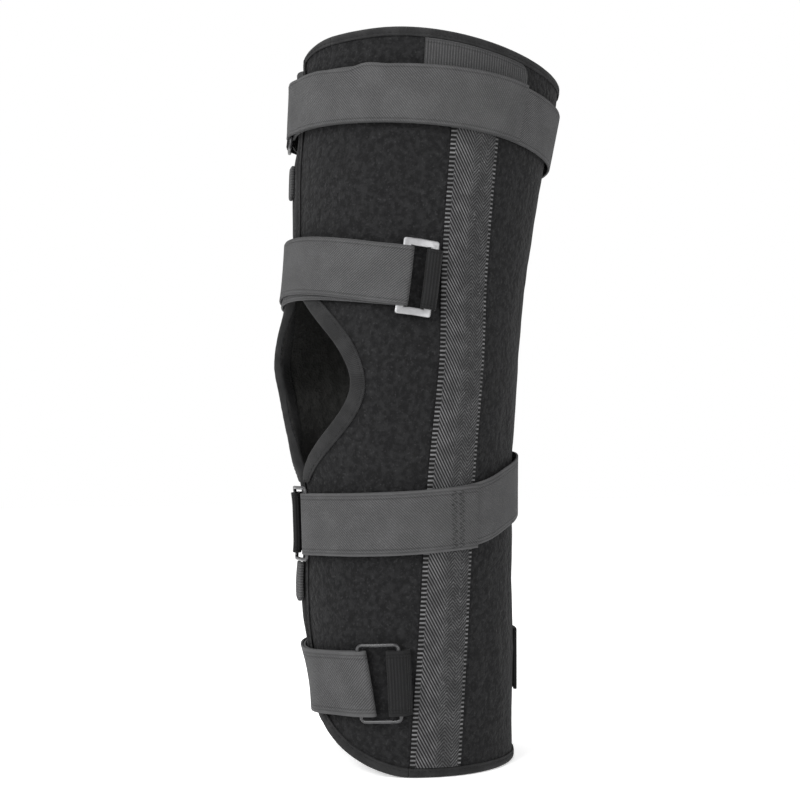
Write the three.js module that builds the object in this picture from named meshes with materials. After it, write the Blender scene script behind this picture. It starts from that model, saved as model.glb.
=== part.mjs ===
// Knee immobilizer: a padded wrap for a straight leg, with stay tapes and four webbing straps.
// Millimetres, +Z up. The kneecap opening faces -Y, the outer side of the leg is +X.
// The wrap stands on its lower hem.
import * as THREE from "three";

// Wrap
const wrapHeight = 490;
const thighRadius = 93.6;
const wallThickness = 5;
const backDrop = 20;
const dropBand = 70;
const dropStartAngle = 45;
const dropEndAngle = 150;
const topBand = 22;
const frontSlit = 1.2;

// Kneecap opening
const openingLevel = 0.535; // share of wrapHeight
const openingHeight = 140;
const openingReach = 67.6;
const openingPower = 1.5;

// The inner panel's rim stands out from the leg beside the opening
const flapLift = 12.6;
const flapReach = 48;
const flapRiseAngle = 12;
const flapStartAngle = 46;
const flapEndAngle = 95;

// Rounded corners of the front edges, larger and straighter on the inner panel, where straps
// lie over them
const frontCorners = {
  outer: { lowArc: 79, lowHeight: 50, topArc: 38, topHeight: 9, power: 1.6 },
  inner: { lowArc: 79, lowHeight: 86, topArc: 58, topHeight: 25, power: 1.2 },
};

// Binding and stay tape
const sewnGap = 0.45;
const bindingThickness = 0.6;
const bindingGap = 0.75;
const curvedLip = 11;
const straightLip = 5;
const hemLip = 6.5;
const tapeWidth = 34;
const tapeThickness = 0.9;
const stayFoot = 12.4;
const stayLean = 23.3;

// Webbing
const webbingWidth = 40;
const webbingThickness = 1.5;
const webbingRest = 0.8;
const layerGap = 0.5;
const sewnRun = 14;
const settleRun = 18;
const chapeThickness = 1.2;
const chapeRest = 0.75;

// Rings
const flatBarWidth = 5;
const flatBarThickness = 2.4;
const wireThickness = 2.4;
const flatRingWidth = 22;
const wireRingWidth = 28;
const flatRingPlay = 0.4;
const wireRingPlay = 2.5;
const ringCornerRadius = 3;
const barClear = 1.2;

// Small sewn pieces
const keeperHeight = 36;
const keeperStart = 66;
const keeperEnd = 113;
const keeperThickness = 0.9;
const pullTabThickness = 2.4;
const pullTabRounding = 0.25; // share of the tab's width
const anchorThickness = 2.6;
const anchorStart = 154;
const anchorEnd = 190;
const chapeRun = 27;

// Steps of the curved forms
const wallColumns = 9;
const backColumns = 20;
const tapeColumns = 4;
const roundStep = 7.5;
const rowSpacing = 12;
const rowClearance = 4;
const straightSpacing = 32;
const cornerSteps = 8;
const openingSteps = 16;
const foldSteps = 5;
const chapeSteps = 4;

const degrees = Math.PI / 180;

// Cross sections of the leg form: height as a share of wrapHeight, radius and lean towards
// the calf as shares of thighRadius.
const legSections = [
  { height: 0.0, radius: 0.744, lean: 0.0 },
  { height: 0.107, radius: 0.764, lean: -0.017 },
  { height: 0.209, radius: 0.787, lean: -0.042 },
  { height: 0.331, radius: 0.799, lean: -0.051 },
  { height: 0.392, radius: 0.808, lean: -0.059 },
  { height: 0.434, radius: 0.83, lean: -0.08 },
  { height: 0.474, radius: 0.858, lean: -0.101 },
  { height: 0.515, radius: 0.887, lean: -0.118 },
  { height: 0.556, radius: 0.91, lean: -0.128 },
  { height: 0.597, radius: 0.906, lean: -0.105 },
  { height: 0.638, radius: 0.889, lean: -0.065 },
  { height: 0.679, radius: 0.888, lean: -0.037 },
  { height: 0.74, radius: 0.904, lean: -0.001 },
  { height: 0.801, radius: 0.933, lean: 0.029 },
  { height: 0.862, radius: 0.962, lean: 0.068 },
  { height: 0.923, radius: 0.988, lean: 0.107 },
  { height: 1.0, radius: 1.0, lean: 0.134 },
];

// Where the straps draw the wrap in across its open front: depth at the middle, the middle's
// height as a share of wrapHeight, and how far above and below it the depth holds and ends.
const frontDraws = [
  { level: 0.082, depth: 7.5, hold: 5, end: 62 },
  { level: 0.334, depth: 3.5, hold: 10, end: 45 },
  { level: 0.9165, depth: 3, hold: 14, end: 45 },
];
const drawAngle = -18;
const drawSpread = 32;

// Straps. level is the height of the webbing's centre where it meets its ring, as a share of
// wrapHeight, width is a share of webbingWidth, and ringAngle is the ring's centre. In a route,
// angle is in degrees from the front and rise is a share of webbingWidth.
const straps = [
  {
    name: "upper_thigh",
    level: 0.9165,
    width: 0.94,
    ringAngle: -16,
    ringKind: "wire",
    ringDrop: 2,
    foldReach: 8,
    sewnAngle: 192,
    tailAngle: 111,
    chapeSide: -1,
    under: [
      { angle: -20, rise: 0 },
      { angle: 0, rise: 0 },
      { angle: 45, rise: -0.0875 },
      { angle: 90, rise: -0.225 },
      { angle: 137, rise: -0.45 },
      { angle: 192, rise: -0.51 },
    ],
    outer: [
      { angle: -20, rise: 0 },
      { angle: 0, rise: 0 },
      { angle: 45, rise: -0.0875 },
      { angle: 90, rise: -0.225 },
      { angle: 137, rise: -0.45 },
    ],
  },
  {
    name: "lower_thigh",
    level: 0.665,
    width: 0.97,
    ringAngle: 72.5,
    ringKind: "flat",
    ringDrop: 0,
    foldReach: 4.7,
    sewnAngle: -165,
    tailAngle: -62,
    chapeSide: 1,
    under: [
      { angle: -165, rise: -0.4 },
      { angle: -90, rise: -0.11 },
      { angle: 0, rise: 0.19 },
      { angle: 66, rise: 0.01 },
      { angle: 90, rise: -0.13 },
    ],
    outer: [
      { angle: -62, rise: 0.06 },
      { angle: 0, rise: 0.31 },
      { angle: 66, rise: 0.01 },
      { angle: 90, rise: -0.13 },
    ],
  },
  {
    name: "upper_calf",
    level: 0.334,
    width: 1.025,
    ringAngle: 1.5,
    ringKind: "wire",
    ringDrop: 0,
    foldReach: 4,
    sewnAngle: 188,
    tailAngle: 104,
    chapeSide: -1,
    under: [
      { angle: -20, rise: 0 },
      { angle: 0, rise: 0 },
      { angle: 60, rise: 0.06 },
      { angle: 95, rise: 0.15 },
      { angle: 112, rise: 0.26 },
      { angle: 130, rise: 0.46 },
      { angle: 160, rise: 0.67 },
      { angle: 190, rise: 0.77 },
    ],
    outer: [
      { angle: -20, rise: 0 },
      { angle: 0, rise: 0 },
      { angle: 60, rise: 0.05 },
      { angle: 104, rise: 0.16 },
    ],
  },
  {
    name: "lower_calf",
    level: 0.129,
    width: 1.06,
    ringAngle: 52.9,
    ringKind: "wire",
    ringDrop: 0,
    foldReach: 7.7,
    sewnAngle: -169,
    tailAngle: -66,
    chapeSide: 1,
    under: [
      { angle: -170, rise: 0.12 },
      { angle: -66, rise: -0.14 },
      { angle: 0, rise: -0.13 },
      { angle: 25, rise: -0.08 },
      { angle: 70, rise: 0.01 },
    ],
    outer: [
      { angle: -66, rise: -0.14 },
      { angle: 0, rise: -0.13 },
      { angle: 25, rise: -0.08 },
      { angle: 70, rise: 0.01 },
    ],
  },
];

const bindingCover = bindingThickness + bindingGap;

// Small pull tabs on the inner front panel; below is the distance from the ring above and rest
// the distance from the panel, which is larger over the binding
const pullTabs = [
  {
    name: "upper_pull_tab",
    strap: "upper_thigh",
    below: 12.9,
    angle: -10,
    width: 13,
    length: 23.5,
    rest: sewnGap,
  },
  {
    name: "lower_pull_tab",
    strap: "upper_calf",
    below: 1,
    angle: -4,
    width: 13,
    length: 27,
    rest: bindingCover + webbingRest,
  },
];

const openingCentre = openingLevel * wrapHeight;
const belowTopHem = wrapHeight - hemLip - sewnGap;
const tapeFace = sewnGap + tapeThickness;
const underCentre = tapeFace + webbingRest + webbingThickness / 2;
const outerCentre = underCentre + webbingThickness + layerGap;
const sewnCentre = sewnGap + webbingThickness / 2;

// Value of a table's column at a place between its rows, on a smooth curve through the rows.
function smoothColumn(rows, key, column, place) {
  const last = rows.length - 1;
  if (place <= rows[0][key]) return rows[0][column];
  if (place >= rows[last][key]) return rows[last][column];
  let i = 0;
  while (place > rows[i + 1][key]) i += 1;
  const slopeAt = (k) => {
    const low = rows[Math.max(k - 1, 0)];
    const high = rows[Math.min(k + 1, last)];
    return (high[column] - low[column]) / (high[key] - low[key]);
  };
  const span = rows[i + 1][key] - rows[i][key];
  const t = (place - rows[i][key]) / span;
  const start = (1 + 2 * t) * (1 - t) ** 2 * rows[i][column];
  const end = t * t * (3 - 2 * t) * rows[i + 1][column];
  const leave = t * (1 - t) ** 2 * span * slopeAt(i);
  const arrive = t * t * (t - 1) * span * slopeAt(i + 1);
  return start + end + leave + arrive;
}

function legRadius(height) {
  return thighRadius * smoothColumn(legSections, "height", "radius", height / wrapHeight);
}

function legLean(height) {
  return thighRadius * smoothColumn(legSections, "height", "lean", height / wrapHeight);
}

// How far the wrap stands out from the plain leg form: out at the rim beside the opening, and
// in below the straps at the front.
function standOff(turn, height) {
  const angle = Math.atan2(Math.sin(turn), Math.cos(turn)) / degrees;
  const away = Math.min(1, Math.abs(height - openingCentre) / flapReach);
  const held = THREE.MathUtils.smoothstep(-angle, flapStartAngle, flapEndAngle);
  const rise = THREE.MathUtils.smoothstep(-angle, 0, flapRiseAngle);
  let shift = flapLift * Math.cos((away * Math.PI) / 2) ** 2 * rise * (1 - held);
  const aside = Math.min(1, Math.abs(angle - drawAngle) / drawSpread);
  for (const draw of frontDraws) {
    const distance = Math.abs(height - draw.level * wrapHeight);
    const share = 1 - THREE.MathUtils.smoothstep(distance, draw.hold, draw.end);
    shift -= draw.depth * share * Math.cos((aside * Math.PI) / 2) ** 2;
  }
  return shift;
}

// A point beside the leg form: turn in radians from the front towards the outer side.
function legPoint(turn, height, offset) {
  const reach = legRadius(height) + standOff(turn, height) + offset;
  return new THREE.Vector3(
    reach * Math.sin(turn),
    legLean(height) - reach * Math.cos(turn),
    height,
  );
}

// How far the top edge drops at a turn, so that it is lowest behind the thigh.
function topDrop(turn) {
  const away = Math.abs(Math.atan2(Math.sin(turn), Math.cos(turn))) / degrees;
  return backDrop * THREE.MathUtils.smoothstep(away, dropStartAngle, dropEndAngle);
}

function followTop(turn, height) {
  const share = THREE.MathUtils.smoothstep(height, wrapHeight - dropBand, wrapHeight - topBand);
  return height - topDrop(turn) * share;
}

// The turn of the straight stay, and so of the seam below its tape.
function stayTurn(height) {
  const along = (stayLean * height) / wrapHeight - stayFoot;
  return Math.acos((legLean(height) - along) / legRadius(height));
}

function cornerPoint(turn, arc, height, power) {
  return {
    arc: arc * (1 - Math.cos(turn) ** (2 / power)),
    height: height * (1 - Math.sin(turn) ** (2 / power)),
  };
}

function openingArc(height) {
  const share = Math.min(1, Math.abs(height - openingCentre) / (openingHeight / 2));
  return openingReach * Math.max(0, Math.cos((share * Math.PI) / 2)) ** openingPower;
}

function cornersOf(side) {
  return side === 1 ? frontCorners.outer : frontCorners.inner;
}

// The finished front edge of a side panel, from the hem up: arc is the distance from the front
// centre line round the leg form.
function frontEdge(side) {
  const corners = cornersOf(side);
  const points = [];
  const add = (arc, height) => points.push({ arc: frontSlit / 2 + arc, height });
  for (let i = cornerSteps; i > 0; i--) {
    const turn = (i / cornerSteps) * (Math.PI / 2);
    const corner = cornerPoint(turn, corners.lowArc, corners.lowHeight, corners.power);
    add(corner.arc, corner.height);
  }
  const openingBottom = openingCentre - openingHeight / 2;
  const openingTop = openingCentre + openingHeight / 2;
  const lowerRun = openingBottom - corners.lowHeight;
  const lowerRows = Math.max(2, Math.round(lowerRun / straightSpacing));
  for (let i = 0; i < lowerRows; i++) {
    add(0, corners.lowHeight + (lowerRun * i) / lowerRows);
  }
  for (let i = 0; i <= openingSteps; i++) {
    const height = openingBottom + (openingHeight * i) / openingSteps;
    add(openingArc(height), height);
  }
  const upperRun = wrapHeight - corners.topHeight - openingTop;
  const upperRows = Math.max(2, Math.round(upperRun / straightSpacing));
  for (let i = 1; i < upperRows; i++) {
    add(0, openingTop + (upperRun * i) / upperRows);
  }
  const upperSteps = cornerSteps / 2;
  for (let i = 0; i <= upperSteps; i++) {
    const turn = (i / upperSteps) * (Math.PI / 2);
    const corner = cornerPoint(turn, corners.topArc, corners.topHeight, corners.power);
    add(corner.arc, wrapHeight - corner.height);
  }
  return points;
}

// Unit vectors along and into the panel at a point of an edge line.
function edgeFrame(points, i) {
  const before = points[Math.max(i - 1, 0)];
  const after = points[Math.min(i + 1, points.length - 1)];
  let along = after.arc - before.arc;
  let up = after.height - before.height;
  if (i === 0 || i === points.length - 1) {
    along = i === 0 ? -1 : 1;
    up = 0;
  }
  const length = Math.hypot(along, up);
  return { inArc: up / length, inHeight: -along / length };
}

function insetEdge(points, distance) {
  return points.map((point, i) => {
    const { inArc, inHeight } = edgeFrame(points, i);
    return {
      arc: point.arc + inArc * distance,
      height: point.height + inHeight * distance,
    };
  });
}

function apart(positions, a, b) {
  const along = [0, 1, 2].map((axis) => positions[3 * a + axis] - positions[3 * b + axis]);
  return Math.hypot(...along);
}

// The rows again, without those that lie close above the one before.
function thinned(rows) {
  const kept = [rows[0]];
  for (const row of rows.slice(1, -1)) {
    if (row.height - kept[kept.length - 1].height >= rowSpacing) kept.push(row);
  }
  return [...kept, rows[rows.length - 1]];
}

// A closed solid through stations, each with as many points on its face as on its lining.
function loft(stations, isLoop = false) {
  const count = stations[0].face.length;
  const around = 2 * count;
  const positions = [];
  for (const station of stations) {
    for (const point of [...station.face, ...[...station.lining].reverse()]) {
      positions.push(point.x, point.y, point.z);
    }
  }
  const indices = [];
  const spans = isLoop ? stations.length : stations.length - 1;
  for (let i = 0; i < spans; i++) {
    const next = (i + 1) % stations.length;
    for (let j = 0; j < around; j++) {
      const side = (j + 1) % around;
      const a = i * around + j;
      const b = i * around + side;
      const c = next * around + side;
      const d = next * around + j;
      if (apart(positions, a, c) < apart(positions, b, d)) indices.push(a, b, c, a, c, d);
      else indices.push(a, b, d, b, c, d);
    }
  }
  if (!isLoop) {
    const cap = (start, isLast) => {
      for (let j = 0; j < count - 1; j++) {
        const a = start + j;
        const b = start + j + 1;
        const c = start + around - 2 - j;
        const d = start + around - 1 - j;
        if (isLast) indices.push(a, b, c, a, c, d);
        else indices.push(a, c, b, a, d, c);
      }
    };
    cap(0, false);
    cap((stations.length - 1) * around, true);
  }
  const geometry = new THREE.BufferGeometry();
  geometry.setAttribute("position", new THREE.Float32BufferAttribute(positions, 3));
  geometry.setIndex(indices);
  if (enclosedVolume(geometry) < 0) {
    for (let i = 0; i < indices.length; i += 3) {
      [indices[i], indices[i + 1]] = [indices[i + 1], indices[i]];
    }
    geometry.setIndex(indices);
  }
  geometry.computeVertexNormals();
  return geometry;
}

function enclosedVolume(geometry) {
  const position = geometry.getAttribute("position");
  const index = geometry.getIndex();
  const corner = [new THREE.Vector3(), new THREE.Vector3(), new THREE.Vector3()];
  let sum = 0;
  for (let i = 0; i < index.count; i += 3) {
    corner.forEach((point, k) => point.fromBufferAttribute(position, index.getX(i + k)));
    sum += corner[0].dot(corner[1].cross(corner[2]));
  }
  return sum / 6;
}

// A row of the wrap's wall between two turns, outside and inside.
function wallStation(height, startTurn, endTurn, columns) {
  const face = [];
  const lining = [];
  for (let j = 0; j <= columns; j++) {
    const turn = THREE.MathUtils.lerp(startTurn, endTurn, j / columns);
    const level = followTop(turn, height);
    face.push(legPoint(turn, level, 0));
    lining.push(legPoint(turn, level, -wallThickness));
  }
  return { face, lining };
}

function sidePanel(side) {
  const rows = insetEdge(frontEdge(side), bindingCover);
  return loft(rows.map(({ arc, height }) => {
    const radius = legRadius(height);
    const seam = stayTurn(height) - sewnGap / 2 / radius;
    return wallStation(height, (side * arc) / radius, side * seam, wallColumns);
  }));
}

function backPanel() {
  return loft(thinned(insetEdge(frontEdge(1), bindingCover)).map(({ height }) => {
    const seam = stayTurn(height) + sewnGap / 2 / legRadius(height);
    return wallStation(height, seam, 2 * Math.PI - seam, backColumns);
  }));
}

// The binding's folded section at an edge point: outside from lip to edge, round it, to the inside.
function bindingStation(place, lip) {
  const outside = bindingGap;
  const inside = -wallThickness - bindingGap;
  return {
    face: [
      place(lip, outside + bindingThickness),
      place(0, outside + bindingThickness),
      place(0, inside - bindingThickness),
      place(lip, inside - bindingThickness),
    ],
    lining: [
      place(lip, outside),
      place(bindingThickness, outside),
      place(bindingThickness, inside),
      place(lip, inside),
    ],
  };
}

function frontBinding(side) {
  const edge = frontEdge(side);
  const last = edge.length - 1;
  return loft(edge.map((point, i) => {
    const { inArc, inHeight } = edgeFrame(edge, i);
    const fromEnd = Math.min(i / cornerSteps, (last - i) / (cornerSteps / 2), 1);
    const besideOpening = Math.abs(point.height - openingCentre) < openingHeight / 2;
    const isOuterCorner = side === 1 && point.height < frontCorners.outer.lowHeight;
    const isCurved = besideOpening || isOuterCorner;
    const lip = THREE.MathUtils.lerp(hemLip, isCurved ? curvedLip : straightLip, fromEnd);
    const radius = legRadius(point.height);
    const endShift = i === 0 || i === last ? -sewnGap / 2 : 0;
    const place = (into, offset) => {
      const arc = point.arc + inArc * into + endShift;
      const height = point.height + inHeight * into;
      return legPoint((side * arc) / radius, height, offset);
    };
    return bindingStation(place, lip);
  }));
}

// A hem round the back from one front corner to the other.
function hemBinding(arc, edgeHeight, upwards) {
  const radius = legRadius(edgeHeight);
  const cornerTurn = (corners) => (frontSlit / 2 + corners[arc] + sewnGap / 2) / radius;
  const start = cornerTurn(frontCorners.outer);
  const end = 2 * Math.PI - cornerTurn(frontCorners.inner);
  const steps = Math.round((end - start) / (roundStep * degrees));
  const stations = [];
  for (let i = 0; i <= steps; i++) {
    const turn = THREE.MathUtils.lerp(start, end, i / steps);
    const place = (into, offset) => {
      const level = followTop(turn, edgeHeight + upwards * into);
      return legPoint(turn, level, offset);
    };
    stations.push(bindingStation(place, hemLip));
  }
  return loft(stations);
}

function stayTape(side, top) {
  const bottom = hemLip + sewnGap;
  const rows = thinned(frontEdge(side)).map((point) => point.height);
  const heights = [
    bottom,
    ...rows.filter((height) => height > bottom + rowClearance && height < top - rowClearance),
    top,
  ];
  return loft(heights.map((height) => {
    const face = [];
    const lining = [];
    for (let j = 0; j <= tapeColumns; j++) {
      const across = j / tapeColumns - 0.5;
      const turn = side * (stayTurn(height) + (across * tapeWidth) / legRadius(height));
      const level = followTop(turn, height);
      face.push(legPoint(turn, level, tapeFace));
      lining.push(legPoint(turn, level, sewnGap));
    }
    return { face, lining };
  }));
}

// A band of webbing along a path of stations: turn in radians, offset from the leg form, height.
function bandAlong(path, width, thickness) {
  return loft(path.map((here, i) => {
    const before = path[Math.max(i - 1, 0)];
    const after = path[Math.min(i + 1, path.length - 1)];
    const radius = legRadius(here.height);
    const along = (after.turn - before.turn) * radius;
    const out = after.offset - before.offset;
    const length = Math.hypot(along, out);
    const at = (across, side) => {
      const shift = (side * thickness) / 2 / length;
      const turn = here.turn - (shift * out) / radius;
      return legPoint(turn, here.height + across * width, here.offset + shift * along);
    };
    return {
      face: [-0.5, 0, 0.5].map((across) => at(across, 1)),
      lining: [-0.5, 0, 0.5].map((across) => at(across, -1)),
    };
  }));
}

function strapHeight(strap) {
  return strap.level * wrapHeight;
}

function strapWidth(strap) {
  return strap.width * webbingWidth;
}

function ringSizes(strap) {
  const isFlat = strap.ringKind === "flat";
  const barWidth = isFlat ? flatBarWidth : wireThickness;
  const barThickness = isFlat ? flatBarThickness : wireThickness;
  const width = isFlat ? flatRingWidth : wireRingWidth;
  const play = isFlat ? flatRingPlay : wireRingPlay;
  const height = strapWidth(strap) + 2 * (play + barWidth);
  const barCentre = underCentre + webbingThickness / 2 + sewnGap + barThickness / 2;
  const radius = legRadius(strapHeight(strap));
  const barTurn = (width - barWidth) / 2 / radius;
  return { barWidth, barThickness, width, height, barCentre, radius, barTurn };
}

function routeHeight(strap, route, turn) {
  return strapHeight(strap) + webbingWidth * smoothColumn(route, "angle", "rise", turn / degrees);
}

// A half turn of webbing round a ring's bar, from the lower layer to the upper one.
function foldStations(turn, centre, radius, reach, direction, legRadiusHere) {
  const stations = [];
  for (let i = 0; i <= foldSteps; i++) {
    const angle = (-0.5 + i / foldSteps) * Math.PI;
    const along = reach - radius + radius * Math.cos(angle);
    stations.push({
      turn: turn + (direction * along) / legRadiusHere,
      offset: centre + radius * Math.sin(angle),
    });
  }
  return stations;
}

function strapBand(strap) {
  const ring = ringSizes(strap);
  const direction = strap.chapeSide;
  const barTurn = strap.ringAngle * degrees - direction * ring.barTurn;
  const sewnTurn = strap.sewnAngle * degrees;
  const tailTurn = strap.tailAngle * degrees;
  const foldRadius = (ring.barThickness + webbingThickness) / 2 + sewnGap;
  const reach = strap.foldReach - webbingThickness / 2;
  const fold = foldStations(barTurn, ring.barCentre, foldRadius, reach, direction, ring.radius);
  const path = [];
  const add = (turn, offset, route) => {
    path.push({ turn, offset, height: routeHeight(strap, route, turn) });
  };
  const lowerSteps = Math.ceil(Math.abs(fold[0].turn - sewnTurn) / (roundStep * degrees));
  for (let i = 0; i < lowerSteps; i++) {
    const turn = THREE.MathUtils.lerp(sewnTurn, fold[0].turn, i / lowerSteps);
    const run = Math.abs(turn - sewnTurn) * ring.radius;
    const lift = THREE.MathUtils.smoothstep(run, sewnRun, sewnRun + settleRun);
    add(turn, THREE.MathUtils.lerp(sewnCentre, underCentre, lift), strap.under);
  }
  fold.forEach(({ turn, offset }) => add(turn, offset, strap.under));
  const hold = barTurn - (direction * (ring.barWidth / 2 + barClear)) / ring.radius;
  const start = { turn: hold, offset: fold[foldSteps].offset };
  add(start.turn, start.offset, strap.outer);
  const upperSteps = Math.ceil(Math.abs(tailTurn - start.turn) / (roundStep * degrees));
  for (let i = 1; i <= upperSteps; i++) {
    const turn = THREE.MathUtils.lerp(start.turn, tailTurn, i / upperSteps);
    const run = Math.abs(turn - start.turn) * ring.radius;
    const settled = THREE.MathUtils.smoothstep(run, 0, settleRun);
    add(turn, THREE.MathUtils.lerp(start.offset, outerCentre, settled), strap.outer);
  }
  return bandAlong(path, strapWidth(strap), webbingThickness);
}

// Cross sections of a ring's bar, as shares of its width and thickness
const barSections = {
  flat: [
    { across: 0.5, lift: 0.5 },
    { across: 0, lift: 0.5 },
    { across: -0.5, lift: 0.5 },
    { across: -0.5, lift: -0.5 },
    { across: 0, lift: -0.5 },
    { across: 0.5, lift: -0.5 },
  ],
  wire: [
    { across: 0.5, lift: 0 },
    { across: 0.25, lift: 0.5 },
    { across: -0.25, lift: 0.5 },
    { across: -0.5, lift: 0 },
    { across: -0.25, lift: -0.5 },
    { across: 0.25, lift: -0.5 },
  ],
};

// A flat ring has square corners, a wire ring has bends.
function ringFrame(strap) {
  const ring = ringSizes(strap);
  const halfWidth = (ring.width - ring.barWidth) / 2;
  const halfHeight = (ring.height - ring.barWidth) / 2;
  const centreHeight = strapHeight(strap) - strap.ringDrop;
  const loop = [];
  const corners = [[1, 1], [-1, 1], [-1, -1], [1, -1]];
  corners.forEach(([sideAlong, sideUp], k) => {
    if (sideAlong === sideUp) {
      loop.push({ along: sideAlong * halfWidth, up: 0, outAlong: sideAlong, outUp: 0 });
    }
    if (strap.ringKind === "flat") {
      loop.push({
        along: sideAlong * halfWidth,
        up: sideUp * halfHeight,
        outAlong: sideAlong,
        outUp: sideUp,
      });
      return;
    }
    for (let i = 0; i <= 2; i++) {
      const angle = (k + i / 2) * (Math.PI / 2);
      loop.push({
        along: sideAlong * (halfWidth - ringCornerRadius) + ringCornerRadius * Math.cos(angle),
        up: sideUp * (halfHeight - ringCornerRadius) + ringCornerRadius * Math.sin(angle),
        outAlong: Math.cos(angle),
        outUp: Math.sin(angle),
      });
    }
  });
  const stations = loop.map((here) => {
    const points = barSections[strap.ringKind].map(({ across, lift }) => {
      const along = here.along + here.outAlong * across * ring.barWidth;
      const up = here.up + here.outUp * across * ring.barWidth;
      const turn = strap.ringAngle * degrees + along / ring.radius;
      const slope = routeHeight(strap, strap.under, turn) - strapHeight(strap);
      const height = centreHeight + up + slope;
      return legPoint(turn, height, ring.barCentre + lift * ring.barThickness);
    });
    return { face: points.slice(0, 3), lining: points.slice(3).reverse() };
  });
  return loft(stations, true);
}

// The short sewn webbing that holds a ring: out from the seam, round the bar and back.
function ringChape(strap) {
  const ring = ringSizes(strap);
  const side = strap.chapeSide;
  const barTurn = strap.ringAngle * degrees + side * ring.barTurn;
  const level = strapHeight(strap);
  const seamTurns = [-0.5, 0.5].map((end) => stayTurn(level + end * strapWidth(strap)));
  const tapeEdge = Math.min(...seamTurns) - (tapeWidth / 2 + sewnGap) / ring.radius;
  const freeEnd = barTurn - chapeRun / ring.radius;
  const sewnTurn = side === 1 ? tapeEdge : freeEnd;
  const foldRadius = (ring.barThickness + chapeThickness) / 2 + sewnGap;
  const reach = strap.foldReach - chapeThickness / 2;
  const fold = foldStations(barTurn, ring.barCentre, foldRadius, reach, -side, ring.radius);
  const lowSewn = chapeRest + chapeThickness / 2;
  const highSewn = lowSewn + chapeThickness + sewnGap;
  const path = [];
  const add = (turn, offset) => {
    const height = routeHeight(strap, strap.under, turn) - strap.ringDrop;
    path.push({ turn, offset, height });
  };
  for (let i = 0; i < chapeSteps; i++) {
    const turn = THREE.MathUtils.lerp(sewnTurn, fold[0].turn, i / chapeSteps);
    add(turn, THREE.MathUtils.lerp(lowSewn, fold[0].offset, i / chapeSteps));
  }
  fold.forEach(({ turn, offset }) => add(turn, offset));
  const hold = barTurn + (side * (ring.barWidth / 2 + barClear)) / ring.radius;
  const start = { turn: hold, offset: fold[foldSteps].offset };
  add(start.turn, start.offset);
  for (let i = 1; i <= chapeSteps; i++) {
    const turn = THREE.MathUtils.lerp(start.turn, sewnTurn, i / chapeSteps);
    add(turn, THREE.MathUtils.lerp(start.offset, highSewn, i / chapeSteps));
  }
  return bandAlong(path, strapWidth(strap), chapeThickness);
}

// A flat sewn patch between two angles, between a lower and an upper height line.
function patch(startAngle, endAngle, rest, thickness, lowLine, highLine) {
  const steps = Math.max(2, Math.round(Math.abs(endAngle - startAngle) / roundStep));
  const stations = [];
  for (let i = 0; i <= steps; i++) {
    const share = i / steps;
    const turn = THREE.MathUtils.lerp(startAngle, endAngle, share) * degrees;
    const low = lowLine(share, turn);
    const high = highLine(share, turn);
    const heights = [low, (low + high) / 2, high];
    stations.push({
      face: heights.map((height) => legPoint(turn, height, rest + thickness)),
      lining: heights.map((height) => legPoint(turn, height, rest)),
    });
  }
  return loft(stations);
}

// The grey keeper above the top strap, which follows the top hem.
function keeperTab() {
  const high = (share, turn) => followTop(turn, belowTopHem);
  const low = (share, turn) => followTop(turn, belowTopHem - keeperHeight);
  return patch(keeperStart, keeperEnd, sewnGap, keeperThickness, low, high);
}

// A tab with a rounded tip
function pullTab({ strap: name, below, angle, width, length, rest }) {
  const strap = straps.find((other) => other.name === name);
  const top = strapHeight(strap) - strap.ringDrop - ringSizes(strap).height / 2 - below;
  const halfAngle = width / 2 / legRadius(top) / degrees;
  const rounding = (share) => width * pullTabRounding * (2 * share - 1) ** 2;
  const low = (share) => top - length + rounding(share);
  const high = () => top;
  return patch(angle - halfAngle, angle + halfAngle, rest, pullTabThickness, low, high);
}

// The webbing block behind the calf, level with the far end of its strap
function strapAnchor(strap) {
  const level = routeHeight(strap, strap.under, strap.sewnAngle * degrees);
  const low = () => level - strapWidth(strap) / 2;
  const high = () => level + strapWidth(strap) / 2;
  return patch(anchorStart, anchorEnd, sewnGap, anchorThickness, low, high);
}

const finishes = {
  foamCloth: { color: 0x232324, roughness: 0.95, metalness: 0 },
  bindingCloth: { color: 0x2c2c2d, roughness: 0.85, metalness: 0 },
  stayTape: { color: 0x3c3c3d, roughness: 0.8, metalness: 0 },
  greyWebbing: { color: 0x58585a, roughness: 0.85, metalness: 0 },
  blackWebbing: { color: 0x1f1f20, roughness: 0.8, metalness: 0 },
  nickel: { color: 0xb8b8ba, roughness: 0.35, metalness: 1 },
  blackSteel: { color: 0x1c1c1e, roughness: 0.35, metalness: 0.8 },
};

const wrap = new THREE.Group();

function addPiece(name, geometry, finish) {
  const mesh = new THREE.Mesh(geometry, new THREE.MeshStandardMaterial(finishes[finish]));
  mesh.name = name;
  wrap.add(mesh);
}

addPiece("lateral_panel", sidePanel(1), "foamCloth");
addPiece("medial_panel", sidePanel(-1), "foamCloth");
addPiece("back_panel", backPanel(), "foamCloth");
addPiece("lateral_front_binding", frontBinding(1), "bindingCloth");
addPiece("medial_front_binding", frontBinding(-1), "bindingCloth");
addPiece("top_binding", hemBinding("topArc", wrapHeight, -1), "bindingCloth");
addPiece("bottom_binding", hemBinding("lowArc", 0, 1), "bindingCloth");
addPiece("lateral_stay_tape", stayTape(1, belowTopHem - keeperHeight - sewnGap), "stayTape");
addPiece("medial_stay_tape", stayTape(-1, belowTopHem), "stayTape");
addPiece("thigh_keeper_tab", keeperTab(), "greyWebbing");
for (const strap of straps) {
  addPiece(`${strap.name}_strap`, strapBand(strap), "greyWebbing");
  addPiece(`${strap.name}_chape`, ringChape(strap), "blackWebbing");
  addPiece(`${strap.name}_ring`, ringFrame(strap), strap.ringKind === "flat" ? "nickel" : "blackSteel");
}
for (const tab of pullTabs) {
  addPiece(tab.name, pullTab(tab), "greyWebbing");
}
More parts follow.
